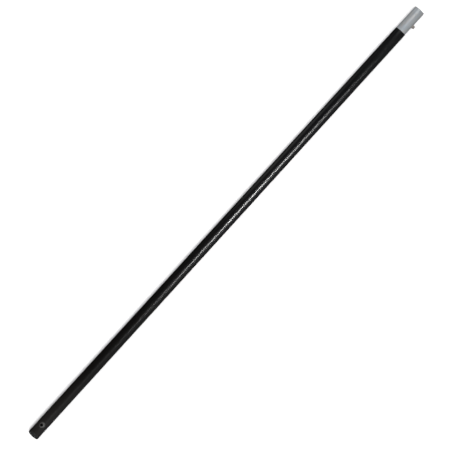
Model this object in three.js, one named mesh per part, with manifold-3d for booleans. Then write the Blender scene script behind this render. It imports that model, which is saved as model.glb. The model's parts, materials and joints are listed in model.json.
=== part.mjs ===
// A push-button sectional extension pole for paint rollers, lying along +X with its butt face at the origin.
// Millimetres, +Z up. The button hole near the butt faces +Z, and the snap button points along -Y.
import * as THREE from "three";
import { mergeVertices } from "three/addons/utils/BufferGeometryUtils.js";
import Module from "manifold-3d";

// ---------------------------------------------------------------- driving dimensions
const INCH = 25.4;
const POLE_LENGTH = 66 * INCH; // butt face to spigot tip
const TUBE_DIAMETER = 1.375 * INCH;
const TUBE_WALL = INCH / 32;
const SPIGOT_SHOWN = 83.3; // bare length past the black tube
const SPIGOT_INSIDE = 100; // length held inside the black tube
const SPIGOT_WALL = 1.2;
const SLIDING_GAP = 0.1; // between the spigot and a tube around it
const BUTTON_DIAMETER = 0.375 * INCH;
const BUTTON_FROM_RIM = 33.3; // button or hole centre to the rim where two sections meet
const BUTTON_STANDS_OUT = 7.1;
const PLUG_HEAD = 10.8; // length outside the tube
const PLUG_STEM = 22; // length inside the tube

// ---------------------------------------------------------------- tubes and holes
const TUBE_RADIUS = TUBE_DIAMETER / 2;
const TUBE_BORE = TUBE_RADIUS - TUBE_WALL;
const TUBE_START = PLUG_HEAD;
const TUBE_END = POLE_LENGTH - SPIGOT_SHOWN;
const SPIGOT_RADIUS = TUBE_BORE - SLIDING_GAP;
const SPIGOT_BORE = SPIGOT_RADIUS - SPIGOT_WALL;
const HOLE_X = TUBE_START + BUTTON_FROM_RIM;
const BUTTON_X = TUBE_END + BUTTON_FROM_RIM;
const BUTTON_RADIUS = BUTTON_DIAMETER / 2;
const BUTTON_HOLE = BUTTON_RADIUS + 0.6;
const UP = 0; // degrees from +Z towards +Y
const BUTTON_SIDE = -90;

const CLEARANCE = 0.05; // between faces that touch on the real pole
const CUT_GAP = 0.3; // round a piece that passes through a cut hole
const TUBE_SIDES = 32; // facets wide enough for the pole to rest on without rolling
const SMALL_SIDES = 24;
const ARC_STEPS = 6;

// ---------------------------------------------------------------- materials
function finish(color, roughness, metalness) {
  return new THREE.MeshStandardMaterial({ color, roughness, metalness });
}

const blackCoating = finish(0x161515, 0.35, 0);
const bareAluminium = finish(0xb9bcc0, 0.38, 1);
const platedSteel = finish(0x9a938c, 0.3, 1);
const springSteel = finish(0x6f7176, 0.4, 1);
const blackPlastic = finish(0x17191a, 0.55, 0);

// ---------------------------------------------------------------- shape helpers
const wasm = await Module();
wasm.setup();

// A solid turned about the X axis from [x, radius] corners. A radius is measured to the middle of a facet.
function turned(outline, sides) {
  const toCorner = 1 / Math.cos(Math.PI / sides);
  const points = outline.map(([x, radius]) => new THREE.Vector2(radius * toCorner, x));
  return new THREE.LatheGeometry(points, sides, Math.PI / sides).rotateZ(-Math.PI / 2);
}

// The same, standing on the pole's axis at x and pointing out at an angle from +Z towards +Y.
function radial(outline, x, angle) {
  return turned(outline, SMALL_SIDES)
    .rotateY(-Math.PI / 2)
    .rotateX(-THREE.MathUtils.degToRad(angle))
    .translate(x, 0, 0);
}

// The corners of an outline at even steps of a share that goes from 0 to 1.
function steps(corner) {
  return Array.from({ length: ARC_STEPS + 1 }, (_, i) => corner(i / ARC_STEPS));
}

// A quarter round from an end face at x to a side at radius. The face looks along -X when depth is positive.
function roundedEdge(x, radius, size, depth = size) {
  return steps((share) => {
    const angle = (share * Math.PI) / 2;
    return [x + depth * (1 - Math.cos(angle)), radius - size * (1 - Math.sin(angle))];
  });
}

function solidOf(geometry) {
  const bare = geometry.clone();
  bare.deleteAttribute("normal");
  bare.deleteAttribute("uv");
  const merged = mergeVertices(bare, 1e-4);
  const vertProperties = merged.getAttribute("position").array;
  const triVerts = new Uint32Array(merged.index.array);
  return new wasm.Manifold(new wasm.Mesh({ numProp: 3, vertProperties, triVerts }));
}

function cut(geometry, ...tools) {
  let solid = solidOf(geometry);
  for (const tool of tools) {
    solid = solid.subtract(solidOf(tool));
  }
  const mesh = solid.getMesh();
  const result = new THREE.BufferGeometry();
  result.setAttribute("position", new THREE.BufferAttribute(mesh.vertProperties, 3));
  result.setIndex(new THREE.BufferAttribute(mesh.triVerts, 1));
  result.computeVertexNormals();
  return result;
}

const pole = new THREE.Group();

function add(name, geometry, material) {
  const mesh = new THREE.Mesh(geometry, material);
  mesh.name = name;
  pole.add(mesh);
}

// ---------------------------------------------------------------- tubes
const RIVET_X = TUBE_END - 45;
const RIVET_RADIUS = 2;
const RIVETS = [
  { side: "button_side", angle: 225 },
  { side: "far_side", angle: 135 },
];

// A length of tube with a button hole in one wall and the two rivet holes underneath.
function drilledTube(from, to, radius, bore, hole) {
  const blank = turned([[from, bore], [from, radius], [to, radius], [to, bore], [from, bore]], TUBE_SIDES);
  const drill = (size) => [[bore / 2, 0], [bore / 2, size], [radius * 2, size], [radius * 2, 0]];
  const buttonHole = radial(drill(BUTTON_HOLE), hole.x, hole.angle);
  const rivetHoles = RIVETS.map(({ angle }) => radial(drill(RIVET_RADIUS + CUT_GAP), RIVET_X, angle));
  return cut(blank, buttonHole, ...rivetHoles);
}

function mainTube() {
  return drilledTube(TUBE_START, TUBE_END, TUBE_RADIUS, TUBE_BORE, { x: HOLE_X, angle: UP });
}

function spigotTube() {
  const hole = { x: BUTTON_X, angle: BUTTON_SIDE };
  return drilledTube(TUBE_END - SPIGOT_INSIDE, POLE_LENGTH, SPIGOT_RADIUS, SPIGOT_BORE, hole);
}

add("main_tube", mainTube(), blackCoating);
add("spigot_tube", spigotTube(), bareAluminium);

// ---------------------------------------------------------------- blind rivets that hold the spigot
const RIVET_HEAD = { radius: 4, height: 1.1 };
const RIVET_TAIL = { radius: 3, length: 2.6 };
const STEM_RADIUS = 1.1;
const STEM_BULB = { radius: 1.9, length: 1.6 };
const STEM_RECESS = 0.4; // from the rivet's crown down to the broken end of its stem
const tailTop = SPIGOT_BORE - 2 * CUT_GAP;
const tailEnd = tailTop - RIVET_TAIL.length;
const crown = TUBE_RADIUS + RIVET_HEAD.height;

function rivetBody(angle) {
  const bore = STEM_RADIUS + CLEARANCE;
  const seat = TUBE_RADIUS + CLEARANCE;
  const dome = roundedEdge(crown, RIVET_HEAD.radius, RIVET_HEAD.radius - 2 * bore, seat - crown).reverse();
  const outline = [
    [tailEnd, bore],
    [tailEnd, RIVET_TAIL.radius - 0.6],
    [tailEnd + 0.6, RIVET_TAIL.radius],
    [tailTop, RIVET_TAIL.radius],
    [SPIGOT_BORE - CUT_GAP, RIVET_RADIUS],
    [seat, RIVET_RADIUS],
    ...dome,
    [crown, bore],
    [tailEnd, bore],
  ];
  return radial(outline, RIVET_X, angle);
}

function rivetStem(angle) {
  const bulbTop = tailEnd - CLEARANCE;
  const bulb = roundedEdge(bulbTop - STEM_BULB.length, STEM_BULB.radius, STEM_BULB.radius, STEM_BULB.length);
  const outline = [
    ...bulb,
    [bulbTop, STEM_RADIUS],
    [crown - STEM_RECESS, STEM_RADIUS],
    [crown - STEM_RECESS, 0],
  ];
  return radial(outline, RIVET_X, angle);
}

for (const { side, angle } of RIVETS) {
  add(`spigot_rivet_${side}`, rivetBody(angle), bareAluminium);
  add(`rivet_stem_${side}`, rivetStem(angle), platedSteel);
}

// ---------------------------------------------------------------- snap button and its leaf spring
const LEAF = {
  thickness: 0.8,
  width: 10,
  reach: 14.3, // pole axis to outer face, where the leaf's edges meet the round bore
  front: 8, // button to tip
  flat: 10, // button back to the knee
  back: 50, // button back to the middle of the bend
  bend: 3, // radius of the bend's middle line
};
const SHANK_RADIUS = 2;
const PEEN = { radius: 3, height: 0.9 };

function snapButton() {
  const top = SPIGOT_RADIUS + BUTTON_STANDS_OUT;
  const leafBack = LEAF.reach - LEAF.thickness - CLEARANCE;
  const seat = LEAF.reach + CLEARANCE;
  const outline = [
    ...roundedEdge(leafBack - PEEN.height, PEEN.radius, PEEN.radius, PEEN.height),
    [leafBack, PEEN.radius],
    [leafBack, SHANK_RADIUS],
    [seat, SHANK_RADIUS],
    [seat, BUTTON_RADIUS],
    ...roundedEdge(top, BUTTON_RADIUS, BUTTON_RADIUS / 2, -BUTTON_RADIUS / 2).reverse(),
    [top, 0],
  ];
  return radial(outline, BUTTON_X, BUTTON_SIDE);
}

// The outline of a strip of even thickness along a middle line.
function strip(line, thickness) {
  const offsets = line.map((point, i) => {
    const before = line[Math.max(i - 1, 0)];
    const after = line[Math.min(i + 1, line.length - 1)];
    const along = after.clone().sub(before).normalize();
    return new THREE.Vector2(-along.y, along.x).multiplyScalar(thickness / 2);
  });
  const left = line.map((point, i) => point.clone().add(offsets[i]));
  const right = line.map((point, i) => point.clone().sub(offsets[i]));
  return new THREE.Shape([...left, ...right.reverse()]);
}

// A V of spring steel whose two legs press on opposite sides of the spigot's bore.
function buttonSpring() {
  const reach = LEAF.reach - LEAF.thickness / 2;
  const run = LEAF.back - LEAF.flat;
  const slope = Math.atan2(reach, run) - Math.asin(LEAF.bend / Math.hypot(reach, run));
  const line = new THREE.Path();
  line.moveTo(LEAF.front, -reach);
  line.lineTo(-LEAF.flat, -reach);
  line.absarc(-LEAF.back, 0, LEAF.bend, -Math.PI / 2 - slope, Math.PI / 2 + slope, true);
  line.lineTo(-LEAF.flat, reach);
  line.lineTo(LEAF.front, reach);
  const blank = new THREE.ExtrudeGeometry(strip(line.getPoints(ARC_STEPS), LEAF.thickness), {
    depth: LEAF.width,
    bevelEnabled: false,
  });
  blank.translate(BUTTON_X, 0, -LEAF.width / 2);
  const size = SHANK_RADIUS + CUT_GAP;
  const hole = [[LEAF.reach / 2, 0], [LEAF.reach / 2, size], [LEAF.reach * 2, size], [LEAF.reach * 2, 0]];
  return cut(blank, radial(hole, BUTTON_X, BUTTON_SIDE));
}

add("snap_button", snapButton(), platedSteel);
add("button_spring", buttonSpring(), springSteel);

// ---------------------------------------------------------------- end plug
const PLUG = {
  flat: 6, // radius of the flat in the middle of the end
  crown: 1.3, // how far the end falls back from there to its rounded edge
  edge: 4, // radius of the rounded edge
  floor: 3.2, // thickness of the end
  wall: 2.2, // of the hollow stem
  ribs: 4,
  ribHeight: 0.7,
  ribLength: 2,
};

// A hollow moulded plug with a rounded head, and ribs on its stem that grip the tube.
function endPlug() {
  const ribTop = TUBE_BORE - CLEARANCE;
  const stem = ribTop - PLUG.ribHeight;
  const end = PLUG_HEAD + PLUG_STEM;
  const pitch = PLUG_STEM / (PLUG.ribs + 0.5);
  const ribs = Array.from({ length: PLUG.ribs }, (_, i) => {
    const x = PLUG_HEAD + (i + 0.5) * pitch;
    return [[x, stem], [x, ribTop], [x + PLUG.ribLength, stem]];
  });
  const crownWidth = TUBE_RADIUS - PLUG.edge - PLUG.flat;
  const outline = [
    [0, 0],
    ...steps((share) => [PLUG.crown * share ** 2, PLUG.flat + crownWidth * share]),
    ...roundedEdge(PLUG.crown, TUBE_RADIUS, PLUG.edge).slice(1),
    [PLUG_HEAD - CLEARANCE, TUBE_RADIUS],
    [PLUG_HEAD - CLEARANCE, stem],
    ...ribs.flat(),
    [end - 1, stem],
    [end, stem - 1],
    [end, stem - PLUG.wall],
    [PLUG.floor, stem - PLUG.wall],
    [PLUG.floor, 0],
  ];
  return turned(outline, TUBE_SIDES);
}

add("end_plug", endPlug(), blackPlastic);

export default pole;
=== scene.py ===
"""Looks of a push-button roller extension pole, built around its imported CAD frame.

Metres, +Z up. The pole lies along +X with its butt face at the origin. Angles round it go from +Z
towards +Y.
"""

import json
import math

import bmesh
import bpy
from mathutils import Matrix, Vector


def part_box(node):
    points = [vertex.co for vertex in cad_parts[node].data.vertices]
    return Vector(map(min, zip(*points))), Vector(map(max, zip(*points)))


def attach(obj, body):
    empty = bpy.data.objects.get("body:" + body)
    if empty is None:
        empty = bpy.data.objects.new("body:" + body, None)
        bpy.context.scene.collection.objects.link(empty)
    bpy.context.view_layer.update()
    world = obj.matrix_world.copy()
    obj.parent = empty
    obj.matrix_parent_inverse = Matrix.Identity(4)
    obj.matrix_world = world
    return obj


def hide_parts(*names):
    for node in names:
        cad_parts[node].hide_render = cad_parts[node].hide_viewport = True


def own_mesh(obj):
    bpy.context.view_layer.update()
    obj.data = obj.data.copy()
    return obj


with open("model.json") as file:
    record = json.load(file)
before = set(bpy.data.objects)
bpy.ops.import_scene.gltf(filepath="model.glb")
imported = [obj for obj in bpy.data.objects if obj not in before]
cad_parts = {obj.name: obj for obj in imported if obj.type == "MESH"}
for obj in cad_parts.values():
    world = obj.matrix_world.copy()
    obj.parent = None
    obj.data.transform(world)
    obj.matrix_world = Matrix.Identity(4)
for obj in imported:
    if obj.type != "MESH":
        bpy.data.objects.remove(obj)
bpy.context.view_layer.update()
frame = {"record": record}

MM = 0.001
INCH = 25.4 * MM

# ---------------------------------------------------------------- sizes, from the frame
tube_low, tube_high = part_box("main_tube")
spigot_low, spigot_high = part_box("spigot_tube")
button_low, button_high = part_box("snap_button")
plug_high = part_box("end_plug")[1]
spring_low, spring_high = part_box("button_spring")
rivet_low, rivet_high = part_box("spigot_rivet_far_side")
hole_low, hole_high = (
    Vector(corner)
    for opening in frame["record"]["physics"]["openings"]
    if opening["name"] == "button_hole"
    for corner in opening["box_m"]
)

TUBE_RADIUS = tube_high.z
TUBE_WALL = INCH / 32
SPIGOT_RADIUS = spigot_high.z
SPIGOT_WALL = 1.2 * MM
TUBE_BORE = TUBE_RADIUS - TUBE_WALL
SPIGOT_BORE = SPIGOT_RADIUS - SPIGOT_WALL
POLE_LENGTH = spigot_high.x
BUTTON_RADIUS = (button_high.x - button_low.x) / 2
BUTTON_HOLE = BUTTON_RADIUS + 0.6 * MM
TOUCHING = 0.05 * MM  # left between faces that touch on the real pole
BUTTON_X = (button_low.x + button_high.x) / 2
HOLE_X = (hole_low.x + hole_high.x) / 2
LEAF_REACH = spring_high.y
LEAF_THICKNESS = 0.8 * MM
LEAF_WIDTH = spring_high.z - spring_low.z

UP = 0.0
BUTTON_SIDE = math.radians(-90)
RIVET_RADIUS = 2 * MM
RIVETS = {"button_side": math.radians(225), "far_side": math.radians(135)}
RIVET_X = (rivet_low.x + rivet_high.x) / 2

TURN_SIDES = 128  # round a lathed piece
COLUMNS = 144  # round a tube
ARC_STEPS = 6
BUTTON_HOLE_CELLS = 12  # of the grid, either side of a hole's middle
RIVET_HOLE_CELLS = 4
RING_CROWDING = 1.2  # above 1, rings of quads crowd towards the middle of their hole
SHARPEST_SMOOTH = math.radians(40)
SHARPEST_UNROUNDED = math.radians(60)
SAME_POINT = 1e-7  # nearer points than this are one
ROUNDING_ERROR = 1e-9


# ---------------------------------------------------------------- mesh helpers
def made(name, bm, materials, body, node):
    """Turns a bmesh into a smooth-shaded piece that stands for a CAD node and rides on its body."""
    bmesh.ops.remove_doubles(bm, verts=bm.verts, dist=SAME_POINT)
    bmesh.ops.recalc_face_normals(bm, faces=bm.faces)
    for face in bm.faces:
        face.smooth = True
    for edge in bm.edges:
        edge.smooth = edge.calc_face_angle(0) < SHARPEST_SMOOTH
    mesh = bpy.data.meshes.new(name)
    bm.to_mesh(mesh)
    bm.free()
    for material in materials:
        mesh.materials.append(material)
    piece = bpy.data.objects.new(name, mesh)
    bpy.context.scene.collection.objects.link(piece)
    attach(piece, body)
    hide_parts(node)
    return piece


def filleted(corners):
    """Rounds an outline. Each corner is (x, radius) or (x, radius, fillet)."""
    points = []
    for i, corner in enumerate(corners):
        here = Vector(corner[:2])
        fillet = corner[2] if len(corner) > 2 else 0
        if not fillet:
            points.append(here)
            continue
        back = (Vector(corners[i - 1][:2]) - here).normalized()
        ahead = (Vector(corners[i + 1][:2]) - here).normalized()
        half = back.angle(ahead) / 2
        centre = here + (back + ahead).normalized() * fillet / math.sin(half)
        start = here + back * fillet / math.tan(half) - centre
        end = here + ahead * fillet / math.tan(half) - centre
        turn = start.angle_signed(end)
        for step in range(ARC_STEPS + 1):
            angle = -turn * step / ARC_STEPS
            cos, sin = math.cos(angle), math.sin(angle)
            points.append(centre + Vector((start.x * cos - start.y * sin, start.x * sin + start.y * cos)))
    return points


def lathed(outline, sides=TURN_SIDES):
    """A bmesh turned about the X axis.

    Its outline starts and ends on the axis, or closes on itself.
    """
    bm = bmesh.new()
    angles = [2 * math.pi * k / sides for k in range(sides)]
    rings = []
    for x, radius in outline:
        if radius < ROUNDING_ERROR:
            rings.append([bm.verts.new((x, 0, 0))] * sides)
            continue
        rings.append([bm.verts.new((x, radius * math.sin(a), radius * math.cos(a))) for a in angles])
    for low, high in zip(rings, rings[1:]):
        for k in range(sides):
            corners = [low[k - 1], low[k], high[k], high[k - 1]]
            corners = [v for n, v in enumerate(corners) if v not in corners[:n]]
            if len(corners) > 2:
                bm.faces.new(corners)
    return bm


def stood(bm, x, angle):
    """Stands a lathed bmesh on the pole's axis at x, pointing out at an angle."""
    upright = Matrix.Rotation(math.radians(-90), 4, "Y")
    bm.transform(Matrix.Translation((x, 0, 0)) @ Matrix.Rotation(-angle, 4, "X") @ upright)
    return bm


def spaced(start, end, most):
    """Evenly spaced values from start up to, but without, end."""
    count = max(1, math.ceil((end - start) / most))
    return [start + (end - start) * k / count for k in range(count)]


def between_skins(points, faces, outer, inner):
    """A bmesh of two skins that share one pattern of (u, v) points and faces, closed along its open edges.

    The outer skin has the first material, and the rest has the second.
    """
    bm = bmesh.new()
    top = [bm.verts.new(outer(u, v)) for u, v in points]
    bottom = [bm.verts.new(inner(u, v)) for u, v in points]
    for face in faces:
        bm.faces.new([top[k] for k in face]).material_index = 0
    open_edges = [(e.verts[0], e.verts[1]) for e in bm.edges if e.is_boundary]
    for face in faces:
        bm.faces.new([bottom[k] for k in reversed(face)]).material_index = 1
    number = {v: k for k, v in enumerate(top)}
    for a, b in open_edges:
        bm.faces.new([a, b, bottom[number[b]], bottom[number[a]]]).material_index = 1
    return bm


def skins(us, vs, holes, outer, inner, wrap):
    """A thin solid between two skins that share one grid of quads, with rings of quads round each hole.

    A hole is (u index, v index, cells, edge): it takes that many cells either side of its middle, and
    edge(direction) gives the (u, v) of its rim. outer(u, v) and inner(u, v) place a point of each skin.
    With wrap, the last column joins the first.
    """
    points, faces, grid = [], [], {}
    columns = len(us)
    step_u = us[1] - us[0]

    def point(u, v):
        points.append((u, v))
        return len(points) - 1

    def inside(i, j):
        for hi, hj, cells, _ in holes:
            across = (i - hi + columns / 2) % columns - columns / 2 if wrap else i - hi
            if abs(across) < cells and abs(j - hj) < cells:
                return True
        return False

    for i in range(columns):
        for j in range(len(vs)):
            if not inside(i, j):
                grid[i, j] = point(us[i], vs[j])
    for i in range(columns if wrap else columns - 1):
        for j in range(len(vs) - 1):
            if not inside(i + 0.5, j + 0.5):
                across = (i + 1) % columns
                faces.append([grid[i, j], grid[across, j], grid[across, j + 1], grid[i, j + 1]])
    for hi, hj, cells, edge in holes:
        side = range(-cells, cells)
        walk = [(k, -cells) for k in side] + [(cells, k) for k in side]
        walk += [(-k, cells) for k in side] + [(-cells, -k) for k in side]
        rings = [[grid[(hi + a) % columns, hj + b] for a, b in walk]]
        rims = [edge(math.atan2(a, b)) for a, b in walk]
        bounds = [(a, vs[hj + b]) for a, b in walk]
        for k in range(cells - 1, -1, -1):
            share = (k / cells) ** RING_CROWDING
            rings.append([
                point(
                    us[hi] + (1 - share) * (rim[0] - us[hi]) + share * a * step_u,
                    (1 - share) * rim[1] + share * v,
                )
                for rim, (a, v) in zip(rims, bounds)
            ])
        for far, near in zip(rings, rings[1:]):
            for k in range(len(walk)):
                faces.append([far[k - 1], far[k], near[k], near[k - 1]])
    return between_skins(points, faces, outer, inner)


def rounded_edges(bm, size, segments=3):
    """Rounds every sharp edge of a thin solid."""
    bmesh.ops.recalc_face_normals(bm, faces=bm.faces)
    sharp = [e for e in bm.edges if e.calc_face_angle(0) > SHARPEST_UNROUNDED]
    bmesh.ops.bevel(bm, geom=sharp, offset=size, segments=segments, profile=0.5, affect="EDGES")
    return bm


def tube(x_start, x_end, radius, wall, holes):
    """A round tube with drilled holes, each (x, angle, radius, cells). Holes at one x have one size."""
    step = 2 * math.pi / COLUMNS
    longest = 25 * MM
    stretches = sorted({(x, radius * math.sin(cells * step), cells) for x, _, _, cells in holes})
    vs, at = [], x_start
    for x, half, cells in stretches:
        vs += spaced(at, x - half, longest)
        vs += [x + half * k / cells for k in range(-cells, cells)]
        at = x + half
    vs += spaced(at, x_end, longest) + [x_end]
    us = [k * step for k in range(COLUMNS)]

    def drilled(x, angle, size):
        return lambda a: (angle + math.asin(size * math.sin(a) / radius), x + size * math.cos(a))

    def skin(r):
        return lambda u, v: (v, r * math.sin(u), r * math.cos(u))

    marked = []
    for x, angle, size, cells in holes:
        column = round(angle / step)
        row = min(range(len(vs)), key=lambda k: abs(vs[k] - x))
        marked.append((column % COLUMNS, row, cells, drilled(x, us[column % COLUMNS], size)))
    return skins(us, vs, marked, skin(radius), skin(radius - wall), True)


# ---------------------------------------------------------------- material helpers
def add(tree, kind, inputs=(), **settings):
    """Adds a shader node. An input is a value, or another node's output."""
    node = tree.nodes.new("ShaderNode" + kind)
    for key, value in settings.items():
        setattr(node, key, value)
    for key, value in dict(inputs).items():
        if isinstance(value, bpy.types.NodeSocket):
            tree.links.new(value, node.inputs[key])
        else:
            node.inputs[key].default_value = value
    return node


def new_material(name):
    """A material with an empty node tree, and the object's own coordinates in metres."""
    material = bpy.data.materials.new(name)
    material.use_nodes = True
    tree = material.node_tree
    tree.nodes.clear()
    return material, tree, add(tree, "TexCoord").outputs["Object"]


def noise(tree, place, size, stretch=(1, 1, 1), detail=3.0, roughness=0.55):
    """Noise whose lumps are about this size in metres, longer along an axis with a stretch above 1."""
    scale = tuple(1 / (size * s) for s in stretch)
    scaled = add(tree, "Mapping", {"Vector": place, "Scale": scale})
    inputs = {"Vector": scaled.outputs[0], "Scale": 1.0, "Detail": detail, "Roughness": roughness}
    return add(tree, "TexNoise", inputs).outputs["Fac"]


def ranged(tree, value, low, high, out_low=0.0, out_high=1.0):
    """Maps low to high onto out_low to out_high, and holds the ends."""
    inputs = {"Value": value, "From Min": low, "From Max": high, "To Min": out_low, "To Max": out_high}
    return add(tree, "MapRange", inputs).outputs[0]


def varied(tree, value, out_low=0.0, out_high=1.0):
    """Maps the values that a noise mostly has, 0.3 to 0.7, onto a range."""
    return ranged(tree, value, 0.3, 0.7, out_low, out_high)


def math_node(tree, operation, a, b=0.0, c=0.0):
    """The result of a Math node on up to three values."""
    return add(tree, "Math", {0: a, 1: b, 2: c}, operation=operation).outputs[0]


def mixed(tree, share, a, b):
    """A colour between a and b."""
    return add(tree, "Mix", {0: share, 6: a, 7: b}, data_type="RGBA").outputs[2]


def bumped(tree, height, depth, strength=1.0, normal=None):
    """A bump whose highest point stands about depth metres out."""
    inputs = {"Height": height, "Distance": depth, "Strength": strength}
    if normal is not None:
        inputs["Normal"] = normal
    return add(tree, "Bump", inputs).outputs[0]


def surface(tree, inputs):
    """Ends a material's tree with a principled shader."""
    shader = add(tree, "BsdfPrincipled", inputs)
    add(tree, "OutputMaterial", {"Surface": shader.outputs[0]})


def rgb(red, green, blue):
    """An opaque colour, in linear light."""
    return (red, green, blue, 1.0)


def from_axis(tree, place, centre, counts):
    """Distance from a line through a centre. counts has a 1 for each coordinate that counts."""
    moved = add(tree, "VectorMath", {0: place, 1: centre}, operation="SUBTRACT").outputs[0]
    flat = add(tree, "VectorMath", {0: moved, 1: counts}, operation="MULTIPLY").outputs[0]
    return add(tree, "VectorMath", {0: flat}, operation="LENGTH").outputs["Value"]


# ---------------------------------------------------------------- materials
def rim_wear(tree, along, grain):
    """1 where the coat has chipped off the tube's two rims."""
    ragged = 0.2 * MM
    bare, coated = 0.15 * MM, 0.3 * MM
    from_butt = math_node(tree, "SUBTRACT", along, tube_low.x)
    from_tip = math_node(tree, "SUBTRACT", tube_high.x, along)
    from_rim = math_node(tree, "MINIMUM", from_butt, from_tip)
    edge = math_node(tree, "ADD", from_rim, varied(tree, grain, -ragged, ragged))
    return ranged(tree, edge, bare, coated, 1.0, 0.0)


def hole_wear_and_painted_highlight(tree, place, spot):
    """1 where the coat is rubbed off round the hole, in patches; partly real wear and partly a painted
    highlight, moved towards and strongest on the -Y side, where the light falls.
    """
    # The ring's middle is moved towards -Y, the lit side, as part of the painted highlight.
    centre = Vector((HOLE_X + 0.8 * MM, -1.7 * MM, 0))
    ragged, fade, patch_size = 1.4 * MM, 4 * MM, 2.6 * MM
    from_hole = from_axis(tree, place, centre, (1, 1, 0))
    patches = noise(tree, place, patch_size)
    edge = math_node(tree, "ADD", from_hole, varied(tree, patches, -ragged, ragged))
    wear_and_painted_highlight = ranged(tree, edge, BUTTON_HOLE, BUTTON_HOLE + fade, 1.0, 0.0)
    upper_side = ranged(tree, spot["Z"], 0, 1 * MM)
    # Stronger towards -Y, where the light falls: a painted highlight.
    painted_highlight_side = ranged(tree, spot["Y"], -2 * MM, 5 * MM, 1.0, 0.3)
    return math_node(tree, "MULTIPLY", wear_and_painted_highlight, math_node(tree, "MULTIPLY", upper_side, painted_highlight_side))


def powder_coat():
    """Semi-gloss black with a fine orange peel, hazy near the butt, and worn at its rims; round its hole
    the wear is partly a painted highlight, brightest on the -Y side where the light falls.
    """
    material, tree, place = new_material("black_powder_coat")
    spot = add(tree, "SeparateXYZ", {0: place}).outputs
    along = spot["X"]
    cloud = noise(tree, place, 60 * MM, (3, 1, 1))
    peel = noise(tree, place, 1.4 * MM, detail=1.0)
    grain = noise(tree, place, 0.25 * MM, detail=2.0)
    rubs = noise(tree, place, 0.35 * MM, (60, 1, 1), detail=2.0)
    rub = ranged(tree, rubs, 0.66, 0.76)
    # Real chipped rims, and round the hole a worn ring that is partly a painted highlight.
    wear_and_painted_highlight = math_node(tree, "MAXIMUM", rim_wear(tree, along, grain), hole_wear_and_painted_highlight(tree, place, spot))

    warm, cool = rgb(0.0028, 0.0022, 0.0020), rgb(0.0016, 0.0019, 0.0024)
    haze, dust, rubbed = rgb(0.0145, 0.0128, 0.0120), rgb(0.005, 0.0047, 0.0044), rgb(0.012, 0.012, 0.012)
    # Bare steel where the rims are chipped; round the hole this colour is also a painted highlight.
    scuffed_steel_and_painted_highlight = rgb(0.12, 0.117, 0.115)
    colour = mixed(tree, ranged(tree, along, 0.1 * POLE_LENGTH, 0.8 * POLE_LENGTH), warm, cool)
    handled = ranged(tree, along, 0.02 * POLE_LENGTH, 0.16 * POLE_LENGTH, 0.85, 0.0)
    colour = mixed(tree, handled, colour, haze)
    colour = mixed(tree, ranged(tree, cloud, 0.35, 0.75, 0.0, 0.35), colour, dust)
    colour = mixed(tree, math_node(tree, "MULTIPLY", rub, 0.4), colour, rubbed)
    rough = varied(tree, cloud, 0.325, 0.375)
    rough = math_node(tree, "ADD", rough, math_node(tree, "MULTIPLY", rub, -0.08))
    rough = math_node(tree, "ADD", rough, varied(tree, grain, -0.03, 0.03))
    pores = bumped(tree, grain, 0.01 * MM, 0.5)
    surface(tree, {
        "Base Color": mixed(tree, wear_and_painted_highlight, colour, scuffed_steel_and_painted_highlight),
        "Metallic": math_node(tree, "MULTIPLY", wear_and_painted_highlight, 0.4),
        "IOR": 1.65,
        "Roughness": rough,
        "Normal": bumped(tree, peel, 0.04 * MM, 0.5, pores),
    })
    return material


def bare_bore():
    """The inside of the steel tube and the walls of its holes: dull rolled steel with darker streaks."""
    material, tree, place = new_material("bare_steel_bore")
    streaks = noise(tree, place, 0.6 * MM, (40, 1, 1))
    stain = noise(tree, place, 20 * MM, (4, 1, 1))
    clean, stained, streaked = rgb(0.42, 0.405, 0.39), rgb(0.31, 0.295, 0.28), rgb(0.20, 0.185, 0.17)
    colour = mixed(tree, varied(tree, stain), clean, stained)
    surface(tree, {
        "Base Color": mixed(tree, ranged(tree, streaks, 0.4, 0.7, 0.0, 0.4), colour, streaked),
        "Metallic": 0.3,
        "Roughness": varied(tree, streaks, 0.42, 0.6),
        "Normal": bumped(tree, streaks, 0.02 * MM, 0.4),
    })
    return material


def drawn_aluminium():
    """Satin aluminium with lengthways die lines, hazy patches, and rub marks round the button hole."""
    material, tree, place = new_material("drawn_aluminium")
    lines = noise(tree, place, 0.12 * MM, (300, 1, 1), detail=2.0)
    broad = noise(tree, place, 1.2 * MM, (120, 1, 1), detail=2.0)
    bloom = noise(tree, place, 12 * MM, (2, 1, 1))
    from_button = from_axis(tree, place, Vector((BUTTON_X, 0, 0)), (1, 0, 1))
    rub = ranged(tree, from_button, BUTTON_HOLE, BUTTON_HOLE + 1.5 * MM, 0.5, 0.0)
    clear, hazy = rgb(0.87, 0.88, 0.88), rgb(0.77, 0.84, 0.90)
    lined, rubbed = rgb(0.50, 0.51, 0.53), rgb(0.52, 0.51, 0.50)
    colour = mixed(tree, ranged(tree, bloom, 0.35, 0.65), clear, hazy)
    colour = mixed(tree, ranged(tree, broad, 0.5, 0.75, 0.0, 0.35), colour, lined)
    rough = varied(tree, bloom, 0.40, 0.52)
    rough = math_node(tree, "ADD", rough, varied(tree, lines, -0.05, 0.05))
    surface(tree, {
        "Base Color": mixed(tree, rub, colour, rubbed),
        "Metallic": 0.8,
        "Roughness": rough,
        "Normal": bumped(tree, lines, 0.006 * MM, 0.6, bumped(tree, broad, 0.01 * MM, 0.4)),
    })
    return material


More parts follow.
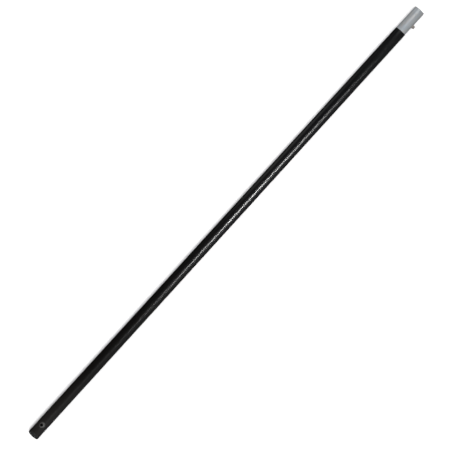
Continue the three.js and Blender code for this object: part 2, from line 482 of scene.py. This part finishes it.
def turned_button():
    """Nickel plated steel with fine turning rings and brownish tarnish."""
    material, tree, place = new_material("turned_nickel_button")
    from_middle = from_axis(tree, place, Vector((BUTTON_X, 0, 0)), (1, 0, 1))
    ring_pitch = 0.16 * MM
    rings = math_node(tree, "SINE", math_node(tree, "MULTIPLY", from_middle, 2 * math.pi / ring_pitch))
    tarnish = noise(tree, place, 1.6 * MM)
    bright, worn = rgb(0.50, 0.465, 0.43), rgb(0.42, 0.385, 0.35)
    colour = mixed(tree, ranged(tree, tarnish, 0.35, 0.7), bright, worn)
    surface(tree, {
        "Base Color": colour,
        "Metallic": 0.7,
        "Roughness": varied(tree, tarnish, 0.28, 0.42),
        "Normal": bumped(tree, rings, 0.004 * MM, 0.5),
    })
    return material


def tempered_spring():
    """Tempered strip, blue-grey to straw coloured, with a fine rolled grain."""
    material, tree, place = new_material("tempered_spring_steel")
    grain = noise(tree, place, 0.15 * MM, detail=2.0)
    temper = noise(tree, place, 9 * MM)
    blue, straw = rgb(0.20, 0.21, 0.25), rgb(0.27, 0.23, 0.20)
    colour = mixed(tree, varied(tree, temper), blue, straw)
    surface(tree, {
        "Base Color": colour,
        "Metallic": 1.0,
        "Roughness": varied(tree, grain, 0.32, 0.46),
        "Normal": bumped(tree, grain, 0.006 * MM, 0.4),
    })
    return material


def moulded_plastic():
    """Black polyethylene with a waxy, lightly sparked surface, and faint scuffs mostly on its face."""
    material, tree, place = new_material("moulded_black_plastic")
    spark = noise(tree, place, 0.3 * MM, detail=3.0)
    cloud = noise(tree, place, 9 * MM)
    scuffs = noise(tree, place, 0.5 * MM, (1, 14, 1), detail=2.0)
    along = add(tree, "SeparateXYZ", {0: place}).outputs["X"]
    on_face = ranged(tree, along, 1 * MM, 4 * MM, 1.0, 0.15)
    scuff = math_node(tree, "MULTIPLY", ranged(tree, scuffs, 0.6, 0.75), on_face)
    dark, pale, scuffed = rgb(0.0125, 0.0135, 0.0135), rgb(0.018, 0.019, 0.019), rgb(0.06, 0.06, 0.06)
    colour = mixed(tree, varied(tree, cloud), dark, pale)
    surface(tree, {
        "Base Color": mixed(tree, math_node(tree, "MULTIPLY", scuff, 0.6), colour, scuffed),
        "Roughness": varied(tree, cloud, 0.46, 0.56),
        "Normal": bumped(tree, spark, 0.02 * MM, 0.5),
    })
    return material


def cast_metal(name, colour, shade, low, high):
    """A small metal piece with blotchy wear, whose roughness lies between low and high."""
    material, tree, place = new_material(name)
    blotch = noise(tree, place, 0.8 * MM)
    surface(tree, {
        "Base Color": mixed(tree, ranged(tree, blotch, 0.35, 0.7), colour, shade),
        "Metallic": 0.6,
        "Roughness": varied(tree, blotch, low, high),
        "Normal": bumped(tree, blotch, 0.01 * MM, 0.5),
    })
    return material


coat = powder_coat()
bore = bare_bore()
aluminium = drawn_aluminium()
nickel = turned_button()
spring_steel = tempered_spring()
plastic = moulded_plastic()
rivet_metal = cast_metal("rivet_aluminium", rgb(0.78, 0.78, 0.79), rgb(0.60, 0.60, 0.61), 0.3, 0.45)
stem_metal = cast_metal("broken_steel", rgb(0.45, 0.43, 0.41), rgb(0.28, 0.25, 0.23), 0.4, 0.6)


# ---------------------------------------------------------------- pieces
def rivet_holes():
    """The two rivet holes that both tubes have."""
    return [(RIVET_X, angle, RIVET_RADIUS + TOUCHING, RIVET_HOLE_CELLS) for angle in RIVETS.values()]


def main_tube():
    """The black tube, coated outside and bare inside."""
    holes = [(HOLE_X, UP, BUTTON_HOLE, BUTTON_HOLE_CELLS)] + rivet_holes()
    bm = tube(tube_low.x, tube_high.x, TUBE_RADIUS, TUBE_WALL, holes)
    bm = rounded_edges(bm, size=0.2 * MM)
    made("main_tube_visual", bm, [coat, bore], "pole", "main_tube")


def spigot_tube():
    """The bare tube that sticks out of the black one."""
    holes = rivet_holes() + [(BUTTON_X, BUTTON_SIDE, BUTTON_HOLE, BUTTON_HOLE_CELLS)]
    bm = tube(spigot_low.x, spigot_high.x, SPIGOT_RADIUS, SPIGOT_WALL, holes)
    bm = rounded_edges(bm, size=0.25 * MM)
    made("spigot_tube_visual", bm, [aluminium, aluminium], "pole", "spigot_tube")


def snap_button():
    """A round button with a domed edge, whose shank is peened over behind the leaf."""
    top = -button_low.y
    seat = LEAF_REACH + TOUCHING
    back = LEAF_REACH - LEAF_THICKNESS - TOUCHING
    peen = button_high.y
    shank, peened, dome = 2 * MM, 3 * MM, 2.3 * MM
    outline = filleted([
        (-peen, 0),
        (-peen, peened, 0.6 * MM),
        (back, peened, 0.1 * MM),
        (back, shank),
        (seat, shank),
        (seat, BUTTON_RADIUS, 0.3 * MM),
        (top, BUTTON_RADIUS, dome),
        (top, 0),
    ])
    bm = stood(lathed(outline), BUTTON_X, BUTTON_SIDE)
    made("snap_button_visual", bm, [nickel], "button", "snap_button")


def end_plug():
    """The hollow moulded plug.

    It has a crowned face with a small gate dimple, a rounded edge, and gripping ribs on its stem.
    """
    dimple, dimple_depth, dimple_slope, dimple_round = 1.2 * MM, 0.35 * MM, 0.2 * MM, 0.2 * MM
    flat, crown, edge = 6 * MM, 1.3 * MM, 4 * MM
    wall, floor = 2.2 * MM, 3.2 * MM
    head, end = tube_low.x, plug_high.x
    rib_top = TUBE_BORE - TOUCHING
    stem = rib_top - 0.7 * MM
    ribs, rib_length = 4, 2 * MM
    pitch = (end - head) / (ribs + 0.5)
    shoulder = TUBE_RADIUS - edge
    steps = [k / ARC_STEPS for k in range(ARC_STEPS + 1)]
    outline = [
        (dimple_depth, 0),
        (dimple_depth, dimple - dimple_slope, dimple_round),
        (0, dimple + dimple_slope, dimple_round),
    ]
    outline += [(crown * share**2, flat + (shoulder - flat) * share) for share in steps[:-1]]
    quarter = [math.radians(90) * k / (2 * ARC_STEPS) for k in range(2 * ARC_STEPS + 1)]
    outline += [(crown + edge * (1 - math.cos(a)), shoulder + edge * math.sin(a)) for a in quarter]
    outline += [(head - TOUCHING, TUBE_RADIUS, 0.25 * MM), (head - TOUCHING, stem, 0.3 * MM)]
    for k in range(ribs):
        x = head + (k + 0.5) * pitch
        outline += [(x, stem, 0.15 * MM), (x, rib_top, 0.1 * MM), (x + rib_length, stem, 0.15 * MM)]
    outline += [
        (end, stem, 1.2 * MM),
        (end, stem - wall, 0.5 * MM),
        (floor, stem - wall, 1 * MM),
        (floor, 0),
    ]
    bm = lathed(filleted(outline), COLUMNS)
    made("end_plug_visual", bm, [plastic], "plug", "end_plug")


def blind_rivet(side, angle):
    """A set blind rivet: its domed head, the bulged tail inside the spigot, and the stem left in it."""
    rivet_bore = 1.15 * MM
    seat = TUBE_RADIUS + TOUCHING
    crown = TUBE_RADIUS + 1.1 * MM
    tail_top = SPIGOT_BORE - 0.6 * MM
    tail_end = tail_top - 2.6 * MM
    head, tail = 4 * MM, 3 * MM
    outline = filleted([
        (tail_end, rivet_bore),
        (tail_end, tail, 0.8 * MM),
        (tail_top, tail, 0.4 * MM),
        (SPIGOT_BORE - 0.3 * MM, RIVET_RADIUS),
        (seat, RIVET_RADIUS),
        (seat, head, 0.12 * MM),
        (seat + 0.35 * MM, head - 0.1 * MM, 0.3 * MM),
        (crown, rivet_bore + 1.0 * MM, 1.2 * MM),
        (crown, rivet_bore, 0.15 * MM),
        (tail_end, rivet_bore),
    ])
    bm = stood(lathed(outline, TURN_SIDES // 2), RIVET_X, angle)
    made(f"spigot_rivet_{side}_visual", bm, [rivet_metal], "pole", f"spigot_rivet_{side}")
    bulb_top, bulb_length, bulb, stem = tail_end - TOUCHING, 1.6 * MM, 1.9 * MM, 1.1 * MM
    outline = filleted([
        (bulb_top - bulb_length, 0),
        (bulb_top - bulb_length, bulb, 1.3 * MM),
        (bulb_top, bulb, 0.15 * MM),
        (bulb_top, stem),
        (crown - 0.4 * MM, stem, 0.1 * MM),
        (crown - 0.55 * MM, 0.5 * MM, 0.1 * MM),
        (crown - 0.45 * MM, 0),
    ])
    bm = stood(lathed(outline, TURN_SIDES // 2), RIVET_X, angle)
    made(f"rivet_stem_{side}_visual", bm, [stem_metal], "pole", f"rivet_stem_{side}")


def spring_line():
    """The middle line of the spring's V, from the end of the button's leaf round to the far leaf's end."""
    bend, knee = 3 * MM, 10 * MM
    bend_x = spring_low.x + bend + LEAF_THICKNESS / 2
    reach = LEAF_REACH - LEAF_THICKNESS / 2
    knee_x = BUTTON_X - 10 * MM
    tip_x = spring_high.x
    slope = math.atan2(reach, knee_x - bend_x) - math.asin(bend / math.hypot(reach, knee_x - bend_x))
    apex_x = bend_x - bend / math.sin(slope)
    return filleted([
        (tip_x, -reach),
        (knee_x, -reach, knee),
        (apex_x, 0, bend),
        (knee_x, reach, knee),
        (tip_x, reach),
    ])


def button_spring():
    """The V of spring steel, with rounded ends and a hole for the button's shank."""
    line = spring_line()
    lengths = [0.0]
    for before, after in zip(line, line[1:]):
        lengths.append(lengths[-1] + (after - before).length)
    cell, end_round = 0.5 * MM, 2.5 * MM
    half_width = LEAF_WIDTH / 2

    def on_line(u):
        k = max(i for i in range(len(line) - 1) if lengths[i] <= u + ROUNDING_ERROR)
        share = (u - lengths[k]) / (lengths[k + 1] - lengths[k])
        along = (line[k + 1] - line[k]).normalized()
        return line[k].lerp(line[k + 1], share), Vector((-along.y, along.x))

    def width_at(u):
        from_tip = min(u, lengths[-1] - u, end_round)
        return half_width - end_round + math.sqrt(end_round**2 - (end_round - from_tip) ** 2)

    def skin(side):
        def place(u, v):
            middle, out = on_line(u)
            spot = middle + out * side * LEAF_THICKNESS / 2
            return (spot.x, spot.y, v * width_at(u) / half_width)
        return place

    count = round(lengths[-1] / cell)
    button_at = spring_high.x - BUTTON_X
    us = [lengths[-1] * k / count for k in range(count + 1)]
    column = round(button_at / lengths[-1] * count)
    eased = 12  # columns either side that share the shift of one column onto the button's middle
    us = [u + (button_at - us[column]) * max(0, 1 - abs(k - column) / eased) for k, u in enumerate(us)]
    rows = round(LEAF_WIDTH / cell)
    vs = [LEAF_WIDTH * (k / rows - 0.5) for k in range(rows + 1)]
    shank_hole, hole_cells = 2.2 * MM, 6

    def hole_edge(a):
        return (button_at + shank_hole * math.sin(a), shank_hole * math.cos(a))

    hole = (column, rows // 2, hole_cells, hole_edge)
    bm = skins(us, vs, [hole], skin(1), skin(-1), False)
    bm = rounded_edges(bm, size=0.12 * MM, segments=2)
    steel = [spring_steel, spring_steel]
    piece = made("button_spring_visual", bm, steel, "pole", "button_spring")
    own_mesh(piece)


main_tube()
spigot_tube()
snap_button()
end_plug()
for side, angle in RIVETS.items():
    blind_rivet(side, angle)
button_spring()


# ---------------------------------------------------------------- floor, light and camera
FLOOR_SIZE = 14.0
middle = Vector((POLE_LENGTH / 2, 0, 0))


def floor():
    """A plain pale floor that the pole neither mirrors nor gets light from."""
    material, tree, _ = new_material("pale_floor")
    surface(tree, {"Base Color": rgb(0.9, 0.9, 0.9), "Roughness": 0.9, "Specular IOR Level": 0.0})
    bm = bmesh.new()
    bmesh.ops.create_grid(bm, x_segments=1, y_segments=1, size=FLOOR_SIZE / 2)
    mesh = bpy.data.meshes.new("floor")
    bm.to_mesh(mesh)
    bm.free()
    mesh.materials.append(material)
    plane = bpy.data.objects.new("floor", mesh)
    bpy.context.scene.collection.objects.link(plane)
    plane.location = (middle.x, 0, tube_low.z)
    plane.visible_glossy = False
    plane.visible_diffuse = False


def studio():
    """Pale surroundings for the floor, and a darker room in the reflections.

    The room is brightest out on the -Y side. It is dimmer from below and towards the pole's ends, most
    of all towards the tip.
    """
    room_glow, room_dark = 0.20, 0.008
    world = bpy.data.worlds.new("studio")
    bpy.context.scene.world = world
    world.use_nodes = True
    tree = world.node_tree
    tree.nodes.clear()
    direction = add(tree, "TexCoord").outputs["Generated"]
    towards = add(tree, "SeparateXYZ", {0: direction}).outputs
    room = math_node(tree, "POWER", ranged(tree, towards["Y"], -0.95, 0.3, 1.0, 0.0), 2.0)
    less_below = ranged(tree, towards["Z"], -0.6, 0.1, 0.5, 1.0)
    less_at_tip = ranged(tree, towards["X"], 0.05, 0.16, 1.0, 0.35)
    less_at_butt = ranged(tree, towards["X"], -0.1, 0.03, 0.8, 1.25)
    for share in (less_below, less_at_tip, less_at_butt):
        room = math_node(tree, "MULTIPLY", room, share)
    room = math_node(tree, "MULTIPLY_ADD", room, room_glow, room_dark)
    overhead = ranged(tree, towards["Z"], 0.0, 1.0, 0.32, 0.66)
    lit = add(tree, "Background", {"Color": rgb(1, 1, 1), "Strength": overhead})
    mirrored = add(tree, "Background", {"Color": rgb(0.97, 0.98, 1.0), "Strength": room})
    behind = add(tree, "Background", {"Color": rgb(1, 1, 1), "Strength": 1.0})
    path = add(tree, "LightPath").outputs
    mix = add(tree, "MixShader", {0: path["Is Glossy Ray"], 1: lit.outputs[0], 2: mirrored.outputs[0]})
    mix = add(tree, "MixShader", {0: path["Is Camera Ray"], 1: mix.outputs[0], 2: behind.outputs[0]})
    add(tree, "OutputWorld", {"Surface": mix.outputs[0]})


def panel(name, angle, distance, x, aim_x, size, energy):
    """A lamp at an angle round the pole's axis, in degrees from +Z towards -Y, facing the axis at aim_x."""
    data = bpy.data.lights.new(name, "AREA")
    data.shape = "RECTANGLE"
    data.size, data.size_y = size
    data.energy = energy
    lamp = bpy.data.objects.new(name, data)
    bpy.context.scene.collection.objects.link(lamp)
    angle = math.radians(angle)
    lamp.location = (x, -distance * math.sin(angle), distance * math.cos(angle))
    facing = Vector((aim_x, 0, 0)) - lamp.location
    lamp.rotation_euler = facing.to_track_quat("-Z", "Y").to_euler()
    lamp.visible_camera = False
    return lamp


def lights():
    """One soft key that throws the shadow, a fill for the tip, and lamps that only glossy surfaces show."""
    sun = bpy.data.lights.new("soft_key", "SUN")
    sun.energy = 2.8
    sun.angle = math.radians(28)
    key = bpy.data.objects.new("soft_key", sun)
    bpy.context.scene.collection.objects.link(key)
    shining = Vector((0.15, 0.40, -1))
    key.rotation_euler = shining.to_track_quat("-Z", "Y").to_euler()
    key.visible_glossy = False
    fill = panel(
        "tip_fill", angle=-42, distance=2.1, x=1.35 * POLE_LENGTH, aim_x=POLE_LENGTH,
        size=(0.9, 0.9), energy=18.0,
    )
    fill.visible_glossy = False

    streak_x = 0.565 * POLE_LENGTH
    butt_x = 0.11 * POLE_LENGTH
    left_x = 0.72 * POLE_LENGTH
    past_tip_x = 1.07 * POLE_LENGTH
    at_tip = {"distance": 0.35, "x": past_tip_x, "aim_x": past_tip_x - 0.1}
    streak = panel(
        "streak_lamp", angle=37, distance=2.6, x=streak_x + 0.08, aim_x=streak_x,
        size=(0.34, 0.10), energy=0.80,
    )
    streak.data.spread = math.radians(26)
    only_gloss = [
        streak,
        panel("butt_lamp", angle=34, distance=0.8, x=butt_x, aim_x=butt_x, size=(0.40, 0.12), energy=0.12),
        panel("left_lamp", angle=-70, distance=0.9, x=left_x, aim_x=left_x, size=(0.5, 0.7), energy=0.47),
        panel("tip_lamp", angle=-6, size=(0.14, 0.34), energy=0.15, **at_tip),
        panel("tip_side_lamp", angle=-78, size=(0.14, 0.14), energy=0.035, **at_tip),
    ]
    for lamp in only_gloss:
        lamp.visible_diffuse = False


def camera():
    """A long lens almost straight above, a little towards the button's side and the butt end."""
    data = bpy.data.cameras.new("camera")
    data.sensor_width = 36
    data.clip_end = 50  # well past the floor
    distance = 6.45
    seen_width = 0.7815 * POLE_LENGTH
    data.lens = data.sensor_width * distance / seen_width
    to_butt, to_button, pole_turn = (math.radians(a) for a in (1.0, 8.0, 48.06))
    back = Vector((-math.tan(to_butt), -math.tan(to_button), 1)).normalized()
    right = Vector((math.cos(pole_turn), -math.sin(pole_turn), 0))
    right = (right - right.dot(back) * back).normalized()
    axes = Matrix((right, back.cross(right), back)).transposed().to_4x4()
    off_middle = Vector((-7.7, -1.55, 0)) * MM
    aim = middle + off_middle
    place = bpy.data.objects.new("camera", data)
    bpy.context.scene.collection.objects.link(place)
    place.matrix_world = Matrix.Translation(aim + back * distance) @ axes
    bpy.context.scene.camera = place


floor()
studio()
lights()
camera()
bpy.context.scene.view_settings.view_transform = "Standard"
